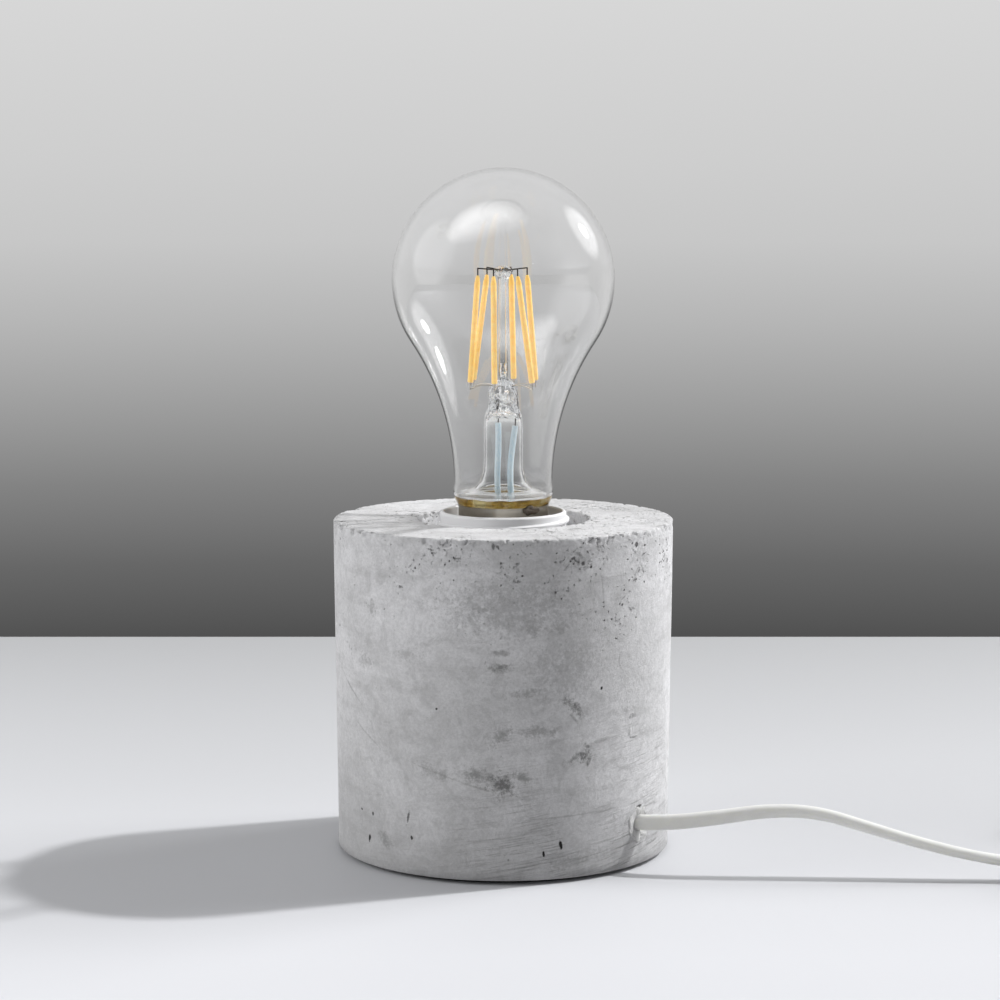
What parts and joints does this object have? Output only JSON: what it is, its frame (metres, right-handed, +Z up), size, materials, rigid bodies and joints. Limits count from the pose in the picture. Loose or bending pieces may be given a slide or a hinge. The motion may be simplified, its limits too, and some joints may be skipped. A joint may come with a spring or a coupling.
{
  "type": "concrete table lamp",
  "caption": "Table lamp: a drilled concrete cylinder with a screw lampholder in its top recess, a clear LED filament bulb that unscrews, and a mains lead with a rocker switch and plug.",
  "frame": {"origin": "middle of the underside of the base, on the table", "axes": "+Z up along the bulb, +X to the side where the lead leaves, -Y towards the viewer"},
  "size_m": [0.2995, 0.1119, 0.201],
  "materials": {
    "concrete": "cast concrete, matt with fine pits",
    "pad": "thin dark foam",
    "zinc_steel": "zinc plated",
    "holder_plastic": "moulded, semi-gloss white",
    "brass": "plain brass",
    "cord_sheath": "smooth white sheath",
    "live_core": "brown insulation",
    "neutral_core": "blue insulation",
    "stop_plastic": "moulded nylon",
    "bulb_glass": "clear blown glass",
    "stem_glass": "clear drawn glass",
    "nickel": "satin nickel",
    "insulator": "black glass-like insulator",
    "cement": "amber cement",
    "driver": "circuit board",
    "sleeve": "pale sleeve",
    "filament": "yellow phosphor silicone",
    "tie": "soft strap",
    "plug_plastic": "moulded white",
    "pin_metal": "nickel plated brass",
    "pin_sleeve": "black sleeve",
    "switch_plastic": "moulded white"
  },
  "bodies": {
    "lamp": {"concrete_body": "concrete", "base_pad": "pad", "nipple": "zinc_steel", "nipple_washer": "zinc_steel", "nipple_lock_washer": "zinc_steel", "nipple_nut": "zinc_steel", "cord_stop_screw": "zinc_steel", "dome_grub_screw": "zinc_steel", "switch_screws": "zinc_steel", "terminal_screws": "zinc_steel", "lampholder_skirt": "holder_plastic", "lampholder_dome": "holder_plastic", "lampholder_core": "holder_plastic", "screw_shell": "brass", "centre_contact": "brass", "side_contact": "brass", "terminal_blocks": "brass", "switch_terminals": "brass", "inner_cord": "cord_sheath", "cord_lead": "cord_sheath", "cord_link": "cord_sheath", "cord_coil": "cord_sheath", "cord_tail": "cord_sheath", "core_live": "live_core", "core_neutral": "neutral_core", "switch_cores": "neutral_core", "cord_stop": "stop_plastic", "cord_tie": "tie", "plug_body": "plug_plastic", "plug_pins": "pin_metal", "plug_sleeves": "pin_sleeve", "switch_base": "switch_plastic", "switch_cover": "switch_plastic"},
    "bulb_foot": {"bulb_cap_insulator": "insulator", "bulb_eyelet": "nickel"},
    "bulb": {"bulb_glass": "bulb_glass", "bulb_stem": "stem_glass", "bulb_cap": "nickel", "bulb_lead_wires": "nickel", "bulb_top_wires": "nickel", "bulb_foot_wires": "nickel", "bulb_cement": "cement", "bulb_driver": "driver", "bulb_lead_sleeves": "sleeve", "bulb_filaments": "filament"},
    "rocker": {"switch_rocker": "switch_plastic"}
  },
  "joints": [
    {"name": "bulb_lift", "type": "slide", "parent": "lamp", "child": "bulb_foot", "axis": [0, 0, 1], "range_m": [0, 0.01815]},
    {"name": "bulb_turn", "type": "hinge", "parent": "bulb_foot", "child": "bulb", "pos_m": [0, 0, 0.1], "axis": [0, 0, 1], "range_deg": [0, 1800]},
    {"name": "rocker_tilt", "type": "hinge", "parent": "lamp", "child": "rocker", "pos_m": [0.187, -0.043, 0.009], "axis": [0, -1, 0], "range_deg": [0, 16]}
  ],
  "couplings": [
    {"joint": "bulb_lift", "follows": "bulb_turn", "m_per_rad": 0.00057751}
  ]
}
